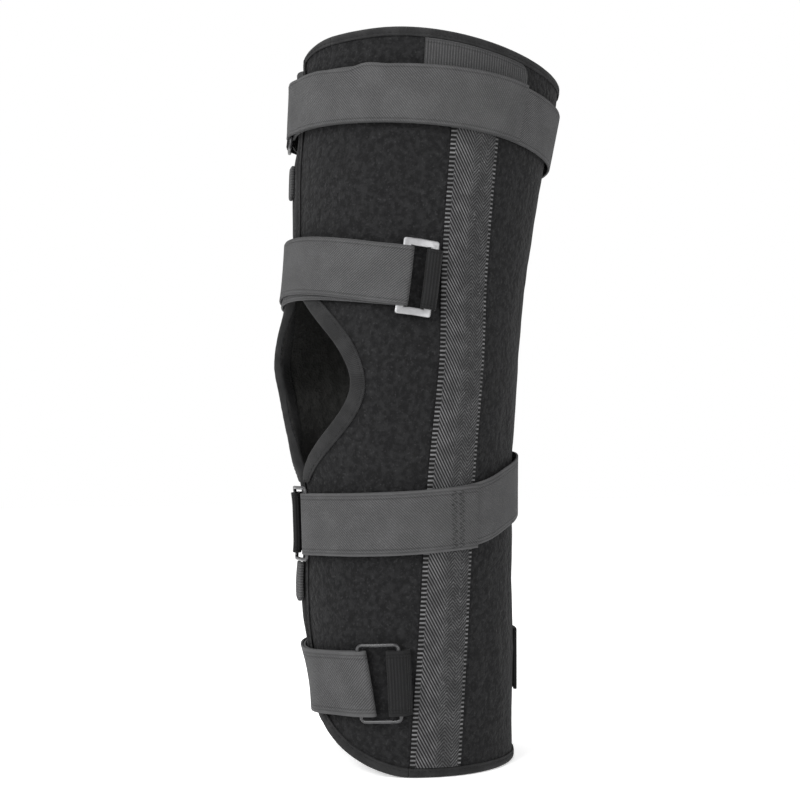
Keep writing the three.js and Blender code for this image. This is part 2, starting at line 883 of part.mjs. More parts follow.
addPiece("lower_calf_anchor", strapAnchor(straps[straps.length - 1]), "blackWebbing");

// The origin is below the middle of the finished part, on the surface that it stands on.
const extent = new THREE.Box3().setFromObject(wrap);
const middle = extent.getCenter(new THREE.Vector3());
wrap.position.set(-middle.x, -middle.y, -extent.min.z);

export default wrap;
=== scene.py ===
# Looks of the knee immobilizer: foam wrap with bound edges, stay tapes and webbing straps.
import math

import bmesh
import bpy
from mathutils import Matrix, Vector, noise


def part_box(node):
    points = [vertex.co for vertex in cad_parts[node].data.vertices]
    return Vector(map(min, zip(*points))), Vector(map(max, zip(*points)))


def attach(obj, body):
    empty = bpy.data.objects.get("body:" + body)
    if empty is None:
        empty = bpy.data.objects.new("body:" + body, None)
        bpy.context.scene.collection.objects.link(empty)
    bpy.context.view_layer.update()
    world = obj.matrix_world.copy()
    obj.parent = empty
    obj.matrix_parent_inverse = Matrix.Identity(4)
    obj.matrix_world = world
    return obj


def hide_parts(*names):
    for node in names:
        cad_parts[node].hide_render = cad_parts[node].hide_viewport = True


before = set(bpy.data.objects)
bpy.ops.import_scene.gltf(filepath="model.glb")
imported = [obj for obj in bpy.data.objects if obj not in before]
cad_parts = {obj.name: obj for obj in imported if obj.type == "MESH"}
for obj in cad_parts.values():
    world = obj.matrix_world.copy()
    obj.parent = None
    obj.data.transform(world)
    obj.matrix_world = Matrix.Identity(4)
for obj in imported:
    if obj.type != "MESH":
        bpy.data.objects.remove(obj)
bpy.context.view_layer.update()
scene = bpy.context.scene
scene.view_settings.view_transform = "Standard"
millimetre = 0.001
print("frame loaded:", len(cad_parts), "nodes")


# Leg form that every sewn piece follows

leg = {
    "height": 490.0, "radius": 93.6, "wall": 5.0, "slit": 1.2,
    "backDrop": 20.0, "dropBand": 70.0, "dropStart": 45.0, "dropEnd": 150.0, "topBand": 22.0,
    "stayFoot": 12.4, "stayLean": 23.3,
    # height as a share of the wrap, radius and lean as shares of the thigh radius
    "sections": [
        (0.0, 0.744, 0.0), (0.107, 0.764, -0.017), (0.209, 0.787, -0.042), (0.331, 0.799, -0.051),
        (0.392, 0.808, -0.059), (0.434, 0.83, -0.08), (0.474, 0.858, -0.101), (0.515, 0.887, -0.118),
        (0.556, 0.91, -0.128), (0.597, 0.906, -0.105), (0.638, 0.889, -0.065), (0.679, 0.888, -0.037),
        (0.74, 0.904, -0.001), (0.801, 0.933, 0.029), (0.862, 0.962, 0.068), (0.923, 0.988, 0.107),
        (1.0, 1.0, 0.134),
    ],
    # the inner rim beside the kneecap opening stands out, within these angles on the inner side
    "flap": {"lift": 12.6, "reach": 48.0, "rise": 12.0, "start": 46.0, "end": 95.0},
    # where straps draw the open front in: middle's height as a share, depth, hold and end
    "draws": [(0.082, 7.5, 5.0, 62.0), (0.334, 3.5, 10.0, 45.0), (0.9165, 3.0, 14.0, 45.0)],
    "drawAngle": -18.0, "drawSpread": 32.0,
}
opening = {"level": 0.535, "height": 140.0, "reach": 67.6, "power": 1.5, "steps": 72}
sewing = {"gap": 0.45, "binding": 0.9, "tape": 0.9, "rest": 0.8, "layerGap": 0.5}


def smoothColumn(rows, column, place):
    last = len(rows) - 1
    if place <= rows[0][0]:
        return rows[0][column]
    if place >= rows[last][0]:
        return rows[last][column]
    i = 0
    while place > rows[i + 1][0]:
        i += 1

    def slope(k):
        low, high = rows[max(k - 1, 0)], rows[min(k + 1, last)]
        return (high[column] - low[column]) / (high[0] - low[0])

    span = rows[i + 1][0] - rows[i][0]
    t = (place - rows[i][0]) / span
    start = (1 + 2 * t) * (1 - t) ** 2 * rows[i][column]
    end = t * t * (3 - 2 * t) * rows[i + 1][column]
    return start + end + t * (1 - t) * span * ((1 - t) * slope(i) - t * slope(i + 1))


def smoothstep(value, low, high):
    t = min(1.0, max(0.0, (value - low) / (high - low)))
    return t * t * (3 - 2 * t)


def lerp(a, b, t):
    return a + (b - a) * t


def legRadius(height):
    return leg["radius"] * smoothColumn(leg["sections"], 1, height / leg["height"])


def legLean(height):
    return leg["radius"] * smoothColumn(leg["sections"], 2, height / leg["height"])


hemLow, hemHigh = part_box("bottom_binding")
hemFace = legRadius(0) + sewing["gap"] + sewing["binding"]
legAxis = Vector(((hemLow.x + hemHigh.x) / 2, hemHigh.y - hemFace * millimetre, 0))


def standOff(turn, height):  # out at the rim beside the opening, in below the straps at the front
    angle = math.degrees(math.atan2(math.sin(turn), math.cos(turn)))
    flap = leg["flap"]
    away = min(1.0, abs(height - opening["level"] * leg["height"]) / flap["reach"])
    share = smoothstep(-angle, 0, flap["rise"]) * (1 - smoothstep(-angle, flap["start"], flap["end"]))
    shift = flap["lift"] * math.cos(away * math.pi / 2) ** 2 * share
    aside = min(1.0, abs(angle - leg["drawAngle"]) / leg["drawSpread"])
    for level, depth, hold, end in leg["draws"]:
        share = 1 - smoothstep(abs(height - level * leg["height"]), hold, end)
        shift -= depth * share * math.cos(aside * math.pi / 2) ** 2
    return shift


def legPoint(turn, height, offset):  # turn in radians from the front towards the outer side
    reach = legRadius(height) + standOff(turn, height) + offset
    across = reach * math.sin(turn)
    deep = legLean(height) - reach * math.cos(turn)
    return legAxis + Vector((across, deep, height)) * millimetre


def followTop(turn, height):
    away = math.degrees(abs(math.atan2(math.sin(turn), math.cos(turn))))
    drop = leg["backDrop"] * smoothstep(away, leg["dropStart"], leg["dropEnd"])
    return height - drop * smoothstep(height, leg["height"] - leg["dropBand"], leg["height"] - leg["topBand"])


def stayTurn(height):
    along = leg["stayLean"] * height / leg["height"] - leg["stayFoot"]
    return math.acos((legLean(height) - along) / legRadius(height))


def ripple(turn, height, size, seed):  # a smooth wave over the cloth, about -1 to 1
    return noise.noise(Vector((math.sin(turn) * 90 / size, math.cos(turn) * 90 / size, height / size + seed)))


# Shader helpers and shared node groups

def mathNode(tree, operation, *values):
    node = tree.nodes.new("ShaderNodeMath")
    node.operation = operation
    for socket, value in zip(node.inputs, values):
        if isinstance(value, (int, float)):
            socket.default_value = value
        else:
            tree.links.new(value, socket)
    return node.outputs[0]


def times(tree, first, second):
    return mathNode(tree, "MULTIPLY", first, second)


def plus(tree, first, second):
    return mathNode(tree, "ADD", first, second)


def rangeNode(tree, value, low, high, toLow=0.0, toHigh=1.0):
    node = tree.nodes.new("ShaderNodeMapRange")
    node.interpolation_type = "SMOOTHSTEP"
    tree.links.new(value, node.inputs["Value"])
    for label, number in (("From Min", low), ("From Max", high), ("To Min", toLow), ("To Max", toHigh)):
        if isinstance(number, (int, float)):
            node.inputs[label].default_value = number
        else:
            tree.links.new(number, node.inputs[label])
    return node.outputs["Result"]


def mixColour(tree, factor, first, second):
    node = tree.nodes.new("ShaderNodeMix")
    node.data_type = "RGBA"
    for index, value in ((0, factor), (6, first), (7, second)):
        if isinstance(value, (int, float)):
            node.inputs[index].default_value = value
        elif isinstance(value, tuple):
            node.inputs[index].default_value = (*value, 1.0)
        else:
            tree.links.new(value, node.inputs[index])
    return node.outputs[2]


def newGroup(name, inputs, outputs):
    group = bpy.data.node_groups.new(name, "ShaderNodeTree")
    for label, value in inputs:
        kind = "NodeSocketVector" if value is None else "NodeSocketFloat"
        socket = group.interface.new_socket(name=label, in_out="INPUT", socket_type=kind)
        if value is not None:
            socket.default_value = value
    for label in outputs:
        group.interface.new_socket(name=label, in_out="OUTPUT", socket_type="NodeSocketFloat")
    return group, group.nodes.new("NodeGroupInput").outputs, group.nodes.new("NodeGroupOutput").inputs


def makeTwillGroup():  # slanted ribs that turn back at each column, on a cloth map in metres
    group, given, out = newGroup(
        "twillRibs",
        [("Cloth", None), ("Pitch", 0.0017), ("Column", 0.02), ("Slope", 1.0)],
        ["Rib"],
    )
    axes = group.nodes.new("ShaderNodeSeparateXYZ")
    group.links.new(given["Cloth"], axes.inputs[0])
    folded = mathNode(group, "PINGPONG", plus(group, axes.outputs["Y"], 1.25), given["Column"])
    phase = plus(group, axes.outputs["X"], times(group, folded, given["Slope"]))
    turns = times(group, mathNode(group, "DIVIDE", phase, given["Pitch"]), math.tau)
    wave = times(group, mathNode(group, "SINE", turns), 0.5)
    group.links.new(plus(group, wave, 0.5), out["Rib"])
    return group


def makeFibreGroup():  # loose fibres: fine flecks, broad mottling and a fuzzy height
    group, given, out = newGroup(
        "clothFibre",
        [("Place", None), ("Fleck Scale", 1100.0), ("Mottle Scale", 45.0)],
        ["Fleck", "Mottle", "Fuzz"],
    )
    levels = []
    for scale, detail in ((given["Fleck Scale"], 2.0), (given["Mottle Scale"], 3.0)):
        field = group.nodes.new("ShaderNodeTexNoise")
        field.inputs["Detail"].default_value = detail
        group.links.new(given["Place"], field.inputs["Vector"])
        group.links.new(scale, field.inputs["Scale"])
        levels.append(field.outputs[0])
    group.links.new(rangeNode(group, levels[0], 0.56, 0.78), out["Fleck"])
    group.links.new(rangeNode(group, levels[1], 0.35, 0.68), out["Mottle"])
    group.links.new(levels[0], out["Fuzz"])
    return group


def makeSelvageGroup():  # firm woven edges: a band beside each edge and two sunk lines
    group, given, out = newGroup(
        "wovenSelvage",
        [("Cloth", None), ("Half Width", 0.02), ("Band", 0.0045)],
        ["Band", "Line"],
    )
    axes = group.nodes.new("ShaderNodeSeparateXYZ")
    group.links.new(given["Cloth"], axes.inputs[0])
    fromMiddle = mathNode(group, "ABSOLUTE", axes.outputs["Y"])
    fromEdge = mathNode(group, "SUBTRACT", given["Half Width"], fromMiddle)
    group.links.new(rangeNode(group, fromEdge, given["Band"], 0.0, 0.0, 1.0), out["Band"])
    lines = []
    for share in (1.0, 0.38):
        middle = times(group, given["Band"], share)
        away = mathNode(group, "ABSOLUTE", mathNode(group, "SUBTRACT", fromEdge, middle))
        lines.append(rangeNode(group, away, 0.0002, 0.0006, 1.0, 0.0))
    group.links.new(mathNode(group, "MAXIMUM", *lines), out["Line"])
    return group


twillRibs = makeTwillGroup()
clothFibre = makeFibreGroup()
wovenSelvage = makeSelvageGroup()


def newMaterial(name, roughness, sheen=0.0, metallic=0.0, specular=0.12):
    material = bpy.data.materials.new(name)
    material.use_nodes = True
    tree = material.node_tree
    shader = tree.nodes["Principled BSDF"]
    shader.inputs["Roughness"].default_value = roughness
    shader.inputs["Metallic"].default_value = metallic
    shader.inputs["Sheen Weight"].default_value = sheen
    shader.inputs["Specular IOR Level"].default_value = specular
    shader.inputs["Sheen Roughness"].default_value = 0.5
    coordinates = tree.nodes.new("ShaderNodeTexCoord")
    return material, tree, shader, coordinates.outputs["Object"], coordinates.outputs["UV"]


def useGroup(tree, group, vector, **values):
    node = tree.nodes.new("ShaderNodeGroup")
    node.node_tree = group
    tree.links.new(vector, node.inputs[0])
    for label, value in values.items():
        node.inputs[label.replace("_", " ")].default_value = value
    return node.outputs


def addBump(tree, shader, height, depth, strength=1.0):
    bump = tree.nodes.new("ShaderNodeBump")
    bump.inputs["Strength"].default_value = strength
    bump.inputs["Distance"].default_value = depth
    tree.links.new(height, bump.inputs["Height"])
    tree.links.new(bump.outputs[0], shader.inputs["Normal"])


loopLooks = {
    "shellLoopCloth": {"dark": (0.0052, 0.0052, 0.0055), "light": (0.0112, 0.0112, 0.0117),
                       "fleck": (0.032, 0.032, 0.033), "mottleScale": 260.0},
    "shellLining": {"dark": (0.019, 0.019, 0.018), "light": (0.028, 0.028, 0.0265),
                    "fleck": (0.05, 0.05, 0.048), "mottleScale": 160.0},
    "sewingThread": {"dark": (0.012, 0.012, 0.0125), "light": (0.02, 0.02, 0.0205),
                     "fleck": (0.04, 0.04, 0.041), "mottleScale": 200.0},
}
softSheen = 0.03
noTurn = 0.5  # a column so wide that its ribs never turn back


def makeLoopCloth(name):
    look = loopLooks[name]
    material, tree, shader, place, _ = newMaterial(name, 0.95, sheen=softSheen)
    fibre = useGroup(tree, clothFibre, place, Fleck_Scale=620.0, Mottle_Scale=look["mottleScale"])
    ground = mixColour(tree, fibre["Mottle"], look["dark"], look["light"])
    colour = mixColour(tree, times(tree, fibre["Fleck"], 0.5), ground, look["fleck"])
    tree.links.new(colour, shader.inputs["Base Color"])
    addBump(tree, shader, plus(tree, fibre["Fuzz"], fibre["Mottle"]), 0.0006, 0.9)
    return material


webbingLooks = {  # pitch, half width and edge band in metres, and how much lighter the ribs are
    "greyWebbing": {"dark": (0.026, 0.026, 0.0265), "light": (0.088, 0.088, 0.0895),
                    "pitch": 0.0017, "slope": 0.9, "halfWidth": 0.02, "band": 0.0035, "ribShare": 0.6},
    "blackWebbing": {"dark": (0.0045, 0.0045, 0.0047), "light": (0.0125, 0.0125, 0.013),
                     "pitch": 0.0018, "slope": 0.0, "halfWidth": 0.02, "band": 0.003, "ribShare": 0.75},
    "keeperWebbing": {"dark": (0.02, 0.02, 0.0205), "light": (0.06, 0.06, 0.061),
                      "pitch": 0.0018, "slope": 0.0, "halfWidth": 0.018, "band": 0.003, "ribShare": 0.7},
}


def makeWebbing(name):
    look = webbingLooks[name]
    material, tree, shader, place, cloth = newMaterial(name, 0.8, sheen=softSheen)
    ribs = useGroup(tree, twillRibs, cloth, Pitch=look["pitch"], Column=noTurn, Slope=look["slope"])
    edge = useGroup(tree, wovenSelvage, cloth, Half_Width=look["halfWidth"], Band=look["band"])
    fibre = useGroup(tree, clothFibre, place, Fleck_Scale=1300.0, Mottle_Scale=60.0)
    uneven = plus(tree, times(tree, fibre["Fuzz"], 1.6), 0.15)  # breaks the ribs up
    body = times(tree, times(tree, ribs["Rib"], uneven), mathNode(tree, "SUBTRACT", 1.0, edge["Band"]))
    tone = plus(tree, times(tree, body, look["ribShare"]), times(tree, fibre["Mottle"], 0.14))
    tone = plus(tree, tone, times(tree, fibre["Fleck"], 0.3))
    tone = plus(tree, tone, times(tree, edge["Band"], 0.35))
    colour = mixColour(tree, tone, look["dark"], look["light"])
    # painted shade: the sunk lines beside each edge are darkened in the base colour
    shade = tuple(0.35 * channel for channel in look["dark"])
    colour = mixColour(tree, times(tree, edge["Line"], 0.3), colour, shade)
    tree.links.new(colour, shader.inputs["Base Color"])
    ribbed = plus(tree, body, times(tree, fibre["Fuzz"], 0.5))
    addBump(tree, shader, mathNode(tree, "SUBTRACT", ribbed, edge["Line"]), 0.0004, 0.8)
    return material


bindingLook = {"dark": (0.009, 0.009, 0.0093), "light": (0.026, 0.026, 0.0265), "pitch": 0.0009}


def makeBindingCloth(name, look):  # fine ribs across the binding
    material, tree, shader, place, cloth = newMaterial(name, 0.85, sheen=softSheen)
    ribs = useGroup(tree, twillRibs, cloth, Pitch=look["pitch"], Column=noTurn, Slope=0.0)
    fibre = useGroup(tree, clothFibre, place, Fleck_Scale=1200.0, Mottle_Scale=90.0)
    tone = plus(tree, times(tree, ribs["Rib"], 0.4), times(tree, fibre["Mottle"], 0.4))
    tree.links.new(mixColour(tree, tone, look["dark"], look["light"]), shader.inputs["Base Color"])
    addBump(tree, shader, plus(tree, ribs["Rib"], fibre["Fuzz"]), 0.0003, 0.7)
    return material


stayTapeLook = {  # edges are metres from the middle of the tape, towards the back
    "dark": (0.003, 0.003, 0.003), "ground": (0.009, 0.009, 0.0095), "thread": (0.13, 0.13, 0.132),
    "rungEdge": -0.0135, "rungPitch": 0.0028, "slantEdge": 0.002, "slantFade": 0.006, "slantPitch": 0.0034,
    "slope": 1.7, "dotEdge": 0.0148, "weavePitch": 0.0024, "weaveColumn": 0.0055, "weaveSlope": 1.2,
    "blur": 0.0003, "weaveShare": 0.42,
}


def makeStayTapeCloth(name, look):
    material, tree, shader, place, cloth = newMaterial(name, 0.8, sheen=softSheen)
    axes = tree.nodes.new("ShaderNodeSeparateXYZ")
    tree.links.new(cloth, axes.inputs[0])
    across, blur = axes.outputs["Y"], look["blur"]
    inLadder = rangeNode(tree, across, look["rungEdge"] - blur, look["rungEdge"] + blur, 1.0, 0.0)
    inDots = rangeNode(tree, across, look["dotEdge"] - blur, look["dotEdge"] + blur)
    inSlant = rangeNode(tree, across, look["slantEdge"] - look["slantFade"], look["slantEdge"], 1.0, 0.0)

    def ribs(pitch, column, slope):
        return useGroup(tree, twillRibs, cloth, Pitch=pitch, Column=column, Slope=slope)["Rib"]

    rungs = rangeNode(tree, ribs(look["rungPitch"], noTurn, 0.0), 0.35, 0.95)
    slant = rangeNode(tree, ribs(look["slantPitch"], noTurn, look["slope"]), 0.3, 0.95)
    weave = ribs(look["weavePitch"], look["weaveColumn"], look["weaveSlope"])
    fibre = useGroup(tree, clothFibre, place, Fleck_Scale=1000.0, Mottle_Scale=120.0)
    quiet = times(tree, plus(tree, weave, times(tree, fibre["Fleck"], 1.2)), look["weaveShare"])
    quiet = times(tree, quiet, mathNode(tree, "SUBTRACT", 1.0, inSlant))
    body = plus(tree, times(tree, slant, times(tree, inSlant, 0.9)), quiet)
    ends = mathNode(tree, "MAXIMUM", inLadder, inDots)
    body = times(tree, body, mathNode(tree, "SUBTRACT", 1.0, ends))
    pattern = plus(tree, body, times(tree, rungs, ends))
    spread = plus(tree, 0.5, times(tree, plus(tree, fibre["Mottle"], fibre["Fleck"]), 0.4))
    ground = mixColour(tree, ends, look["ground"], look["dark"])
    colour = mixColour(tree, times(tree, pattern, spread), ground, look["thread"])
    tree.links.new(colour, shader.inputs["Base Color"])
    addBump(tree, shader, plus(tree, pattern, fibre["Fuzz"]), 0.0004, 0.8)
    return material


metalLooks = {
    "ringNickel": {"colour": (0.27, 0.27, 0.275), "worn": (0.2, 0.2, 0.203),
                   "roughness": 0.45, "metallic": 1.0},
    # the wire rings are plated like the flat ring; their near-black base colour is a painted dark reflection
    # of the dark surroundings
    "ringDarkReflection": {"colour": (0.012, 0.012, 0.013), "worn": (0.05, 0.05, 0.052),
                  "roughness": 0.32, "metallic": 0.0},
}


def makeMetal(name):
    look = metalLooks[name]
    roughness = look["roughness"]
    material, tree, shader, place, _ = newMaterial(name, roughness, metallic=look["metallic"], specular=0.5)
    fibre = useGroup(tree, clothFibre, place, Fleck_Scale=1500.0, Mottle_Scale=180.0)
    worn = times(tree, fibre["Mottle"], 0.5)
    tree.links.new(mixColour(tree, worn, look["colour"], look["worn"]), shader.inputs["Base Color"])
    uneven = rangeNode(tree, fibre["Mottle"], 0.0, 1.0, roughness - 0.06, roughness + 0.1)
    tree.links.new(uneven, shader.inputs["Roughness"])
    addBump(tree, shader, fibre["Fuzz"], 0.00008, 0.5)
    return material


shellCloth = makeLoopCloth("shellLoopCloth")
liningCloth = makeLoopCloth("shellLining")
bindingCloth = makeBindingCloth("bindingTape", bindingLook)
tapeCloth = makeStayTapeCloth("stayTapeWeave", stayTapeLook)
greyWebbing = makeWebbing("greyWebbing")
blackWebbing = makeWebbing("blackWebbing")
patchWebbing = makeWebbing("keeperWebbing")
sewingThread = makeLoopCloth("sewingThread")
brightMetal = makeMetal("ringNickel")
darkReflectionMetal = makeMetal("ringDarkReflection")
print("materials ready")


# Making of the pieces

def clothGrid(columns, rows, place, joinsAlong=False, joinsAcross=False):
    bm = bmesh.new()
    bmesh.ops.create_grid(bm, x_segments=columns, y_segments=rows, size=0.5)
    clothMap = bm.loops.layers.uv.new("cloth")
    placed = {vert: place(vert.co.x + 0.5, vert.co.y + 0.5) for vert in bm.verts}
    for face in bm.faces:
        for loop in face.loops:
            loop[clothMap].uv = placed[loop.vert][1]
    for vert, (position, _) in placed.items():
        vert.co = position
    if joinsAlong or joinsAcross:
        bmesh.ops.remove_doubles(bm, verts=bm.verts, dist=1e-6)
        bmesh.ops.recalc_face_normals(bm, faces=bm.faces)
    return bm


def faceOutwards(bm):  # an open sheet round the leg has its right side away from the leg
    bm.normal_update()
    outward = sum(
        face.normal.dot(Vector((*(face.calc_center_median() - legAxis).xy, 0)))
        for face in bm.faces
    )
    if outward < 0:
        bmesh.ops.reverse_faces(bm, faces=bm.faces)


def addPiece(name, bm, materials, slotName, nodes=(), thickness=0.0, offset=0.0, edge=0.0):
    mesh = bpy.data.meshes.new(name)
    bm.to_mesh(mesh)
    bm.free()
    mesh.shade_smooth()
    piece = bpy.data.objects.new(name, mesh)
    scene.collection.objects.link(piece)
    for material in materials:
        mesh.materials.append(material)
    if thickness:
        solid = piece.modifiers.new("thickness", "SOLIDIFY")
        solid.thickness = thickness * millimetre
        solid.offset = offset
        if len(materials) > 1:
            solid.material_offset = 1
            solid.material_offset_rim = 1
    if edge:
        soften = piece.modifiers.new("softEdge", "BEVEL")
        soften.width = edge * millimetre
        soften.segments = 2
        soften.limit_method = "ANGLE"
        soften.angle_limit = math.radians(50)
    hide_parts(*nodes)
    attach(piece, "root")
    return piece


def addPatch(name, node, material, slotName, steps, place, thickness, edge):
    bm = clothGrid(*steps, place)
    faceOutwards(bm)
    addPiece(name, bm, [material], slotName, [node], thickness=thickness, edge=edge)


# Front edge of the side panels: distance round the leg and height, from the hem up

corners = {  # outer side, then the inner side, where straps lie over larger and straighter corners
    1: {"lowArc": 79.0, "lowHeight": 50.0, "topArc": 38.0, "topHeight": 9.0, "power": 1.6},
    -1: {"lowArc": 79.0, "lowHeight": 86.0, "topArc": 58.0, "topHeight": 25.0, "power": 1.2},
}
cornerSteps = {"low": 28, "top": 16}


def frontEdge(side):
    points = []
    form = corners[side]
    power = 2 / form["power"]

    def add(arc, height):
        points.append((leg["slit"] / 2 + arc, height))

    def corner(share, arc, height):
        turn = share * math.pi / 2
        return arc * (1 - math.cos(turn) ** power), height * (1 - math.sin(turn) ** power)

    for i in range(cornerSteps["low"], 0, -1):
        add(*corner(i / cornerSteps["low"], form["lowArc"], form["lowHeight"]))
    middle = opening["level"] * leg["height"]
    low, high = middle - opening["height"] / 2, middle + opening["height"] / 2
    for i in range(28):
        add(0, lerp(form["lowHeight"], low, i / 28))
    for i in range(opening["steps"] + 1):
        share = abs(2 * i / opening["steps"] - 1)
        add(opening["reach"] * max(0.0, math.cos(share * math.pi / 2)) ** opening["power"],
            lerp(low, high, i / opening["steps"]))
    top = leg["height"] - form["topHeight"]
    for i in range(1, 28):
        add(0, lerp(high, top, i / 28))
    for i in range(cornerSteps["top"] + 1):
        arc, height = corner(i / cornerSteps["top"], form["topArc"], form["topHeight"])
        add(arc, leg["height"] - height)
    return points


def edgeFrame(points, i):  # share of a step into the panel that goes round the leg, and up
    if i in (0, len(points) - 1):
        return 0.0, (1.0 if i == 0 else -1.0)
    along = points[i + 1][0] - points[i - 1][0]
    up = points[i + 1][1] - points[i - 1][1]
    length = math.hypot(along, up)
    return up / length, -along / length


edgeLines = {side: frontEdge(side) for side in (1, -1)}
edgeFrames = {side: [edgeFrame(line, i) for i in range(len(line))] for side, line in edgeLines.items()}
cover = sewing["gap"] + sewing["binding"]


def rowsInside(side):  # the panel's own edge inside its binding, each row above the one before
    rows = []
    for (arc, height), (inArc, inHeight) in zip(edgeLines[side], edgeFrames[side]):
        height = min(leg["height"] - cover, max(cover, height + cover * inHeight))
        if not rows or height > rows[-1][1] + 0.05:
            rows.append((arc + cover * inArc, height))
    return rows


panelRows = {side: rowsInside(side) for side in (1, -1)}


def between(rows, place):  # a row of numbers at a fractional place in a list
    i = min(int(place), len(rows) - 2)
    return [lerp(a, b, place - i) for a, b in zip(rows[i], rows[i + 1])]


# Straps: where each one runs, used by the panels too

webbing = {
    "width": 40.0, "thickness": 1.5, "sewnRun": 14.0, "settleRun": 18.0,
    "chape": 1.2, "chapeRest": 0.75, "chapeRun": 27.0,
}
rings = {
    "flat": {"bar": 5.0, "thick": 2.4, "width": 22.0, "play": 0.4, "corner": 1.6},
    "wire": {"bar": 2.4, "thick": 2.4, "width": 28.0, "play": 2.5, "corner": 3.0},
    "barClear": 1.2,
}
underCentre = sewing["gap"] + sewing["tape"] + sewing["rest"] + webbing["thickness"] / 2
outerCentre = underCentre + webbing["thickness"] + sewing["layerGap"]
sewnCentre = sewing["gap"] + webbing["thickness"] / 2

# routes hold degrees from the front and the rise as a share of the webbing's width
even = [(0, 0), (1, 0)]
straps = [
    {"name": "upper_thigh", "side": -1, "height": 0.9165, "width": 37.6,
     "ring": "wire", "ringAngle": -16, "drop": 2, "fold": 8, "skew": 0.0, "sewn": 192, "tail": 111,
     "under": [(-20, 0), (0, 0), (45, -0.0875), (90, -0.225), (137, -0.45), (192, -0.51)],
     "outer": [(-20, 0), (0, 0), (45, -0.0875), (90, -0.225), (137, -0.45)],
     "flare": [(40, 0), (78, 2.2), (96, 2.4), (111, 1.0)],
     "kink": [(20, 0), (31, -1.5), (36, -1.5), (43, 1.2), (52, 0)]},
    {"name": "lower_thigh", "side": 1, "height": 0.665, "width": 38.8,
     "ring": "flat", "ringAngle": 72.5, "drop": 0, "fold": 4.7, "skew": 0.0, "sewn": -165, "tail": -62,
     "under": [(-165, -0.4), (-90, -0.11), (0, 0.19), (66, 0.01), (90, -0.13)],
     "outer": [(-62, 0.06), (0, 0.31), (66, 0.01), (90, -0.13)], "flare": even, "kink": even},
    {"name": "upper_calf", "side": -1, "height": 0.334, "width": 41.0,
     "ring": "wire", "ringAngle": 1.5, "drop": 0, "fold": 4, "skew": 0.0, "sewn": 188, "tail": 104,
     "under": [(-20, 0), (0, 0), (60, 0.06), (95, 0.15), (112, 0.26), (130, 0.46), (160, 0.67), (190, 0.77)],
     "outer": [(-20, 0), (0, 0), (60, 0.05), (104, 0.16)], "flare": even, "kink": even},
    {"name": "lower_calf", "side": 1, "height": 0.129, "width": 42.4,
     "ring": "wire", "ringAngle": 52.9, "drop": 0, "fold": 7.7, "skew": -5.0, "sewn": -169, "tail": -66,
     "under": [(-170, 0.12), (-66, -0.14), (0, -0.13), (25, -0.08), (70, 0.01)],
     "outer": [(-66, -0.14), (0, -0.13), (25, -0.08), (70, 0.01)], "flare": even, "kink": even},
]


def routeHeight(strap, route, turn):
    rise = smoothColumn(strap[route], 1, math.degrees(turn))
    return strap["height"] * leg["height"] + webbing["width"] * rise


def underStrap(turn, height):  # 1 where a strap presses on the wrap, 0 away from it
    most = 0.0
    for strap in straps:
        low, high = sorted((strap["sewn"], strap["ringAngle"]))
        for whole in (0, math.tau):
            place = turn - whole
            if math.radians(low - 14) < place < math.radians(high + 14):
                away = abs(height - routeHeight(strap, "under", place)) - strap["width"] / 2
                most = max(most, 1 - smoothstep(away, -3, 14))
    return most


# Foam panels: a short cloth simulation gives the puff between seams and straps its shape,
# and that shape is then scaled to the depth in "swell"

panels = {
    "columns": 34, "backColumns": 96, "backRows": 150, "press": 0.7,
    "swell": 1.5, "frames": 14, "pressure": 2.5, "stiffness": 12, "bending": 1.5,
    "seamHold": (18, 30), "edgeHold": (11, 26), "hemHold": (8, 22), "topHold": (8, 30),
}


def heldShare(turn, height, fromFront):  # how firmly sewing or a strap holds the cloth here
    folded = abs(math.atan2(math.sin(turn), math.cos(turn)))
    seam = abs(folded - stayTurn(height)) * legRadius(height)
    tape = 1 - smoothstep(seam, *panels["seamHold"])
    edge = 1 - smoothstep(fromFront, *panels["edgeHold"])
    hem, top = smoothstep(height, *panels["hemHold"]), smoothstep(leg["height"] - height, *panels["topHold"])
    ends = 1 - min(hem, top)
    return max(tape, edge, ends, underStrap(turn, height))


def panelPlace(side):
    def place(u, v):
        arc, height = between(panelRows[side], v * (len(panelRows[side]) - 1))
        radius = legRadius(height)
        front = arc / radius
        turn = side * lerp(front, stayTurn(height) - 0.25 / radius, u)
        return turn, height, abs(abs(turn) - front) * radius
    return place


def backPlace(u, v):
    height = lerp(cover, leg["height"] - cover, v)
    seam = stayTurn(height) + 0.25 / legRadius(height)
    return lerp(seam, math.tau - seam, u), height, 60.0


def swellPanel(piece, held):
    rest = [vert.co.copy() for vert in piece.data.vertices]
    pinned = piece.vertex_groups.new(name="held")
    for i, share in enumerate(held):
        pinned.add([i], share, "REPLACE")
    cloth = piece.modifiers.new("puff", "CLOTH")
    cloth.settings.vertex_group_mass = "held"
    cloth.settings.use_pressure = True
    cloth.settings.uniform_pressure_force = panels["pressure"]
    cloth.settings.effector_weights.gravity = 0
    cloth.settings.tension_stiffness = panels["stiffness"]
    cloth.settings.compression_stiffness = panels["stiffness"]
    cloth.settings.bending_stiffness = panels["bending"]
    cloth.point_cache.frame_end = panels["frames"] + 1
    for step in range(1, panels["frames"] + 1):
        scene.frame_set(step)
    shaped = piece.evaluated_get(bpy.context.evaluated_depsgraph_get()).data
    moves = [shaped.vertices[i].co - rest[i] for i in range(len(rest))]
    piece.modifiers.remove(cloth)
    scene.frame_set(1)
    most = max(move.length for move in moves)
    limit = panels["swell"] * millimetre
    scale = limit / most if most > 0 else 0
    print(f"{piece.name}: cloth moved {most / millimetre:.2f} mm at most, scaled by {scale:.1f}")
    for vert, move, share in zip(piece.data.vertices, moves, held):
        vert.co += move * max(scale, min(1.0, limit / max(move.length, 1e-9))) * (1 - share)
    piece.vertex_groups.remove(pinned)


